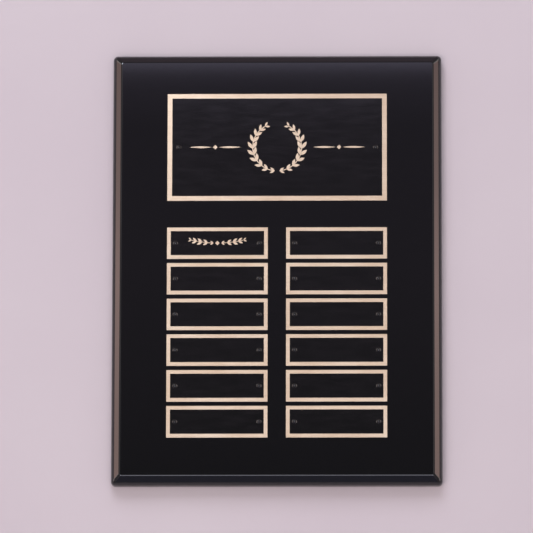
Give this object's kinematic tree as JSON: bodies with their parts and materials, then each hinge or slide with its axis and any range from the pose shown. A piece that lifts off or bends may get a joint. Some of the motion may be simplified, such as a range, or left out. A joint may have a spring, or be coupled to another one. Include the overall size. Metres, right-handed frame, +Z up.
{
  "type": "perpetual plaque",
  "caption": "Black lacquered wall board with a moulded edge, one large and a grid of small black-enamelled brass plates held by domed pins, and a keyhole hanger behind.",
  "frame": {"origin": "centre of the board's back face, which lies against the wall", "axes": "+X to the right as someone in front sees it, +Z up, +Y out of the back into the wall, so the face looks along -Y"},
  "size_m": [0.2286, 0.0147, 0.3048],
  "materials": {
    "black_lacquer": "high gloss black lacquer over a wood fibre board",
    "brass": "satin, brushed lengthways, clear lacquered",
    "black_enamel": "semi-gloss black screened enamel",
    "black_pin": "gloss black lacquered steel",
    "zinc_steel": "bright zinc plated"
  },
  "bodies": {
    "root": {"board": "black_lacquer", "header_plate": "brass", "header_plate_enamel": "black_enamel", "name_plate_01": "brass", "name_plate_02": "brass", "name_plate_03": "brass", "name_plate_04": "brass", "name_plate_05": "brass", "name_plate_06": "brass", "name_plate_07": "brass", "name_plate_08": "brass", "name_plate_09": "brass", "name_plate_10": "brass", "name_plate_11": "brass", "name_plate_12": "brass", "name_plate_enamel": "black_enamel", "header_plate_pins": "black_pin", "name_plate_pins": "black_pin", "keyhole_hanger": "zinc_steel", "hanger_screws": "zinc_steel"}
  },
  "joints": []
}
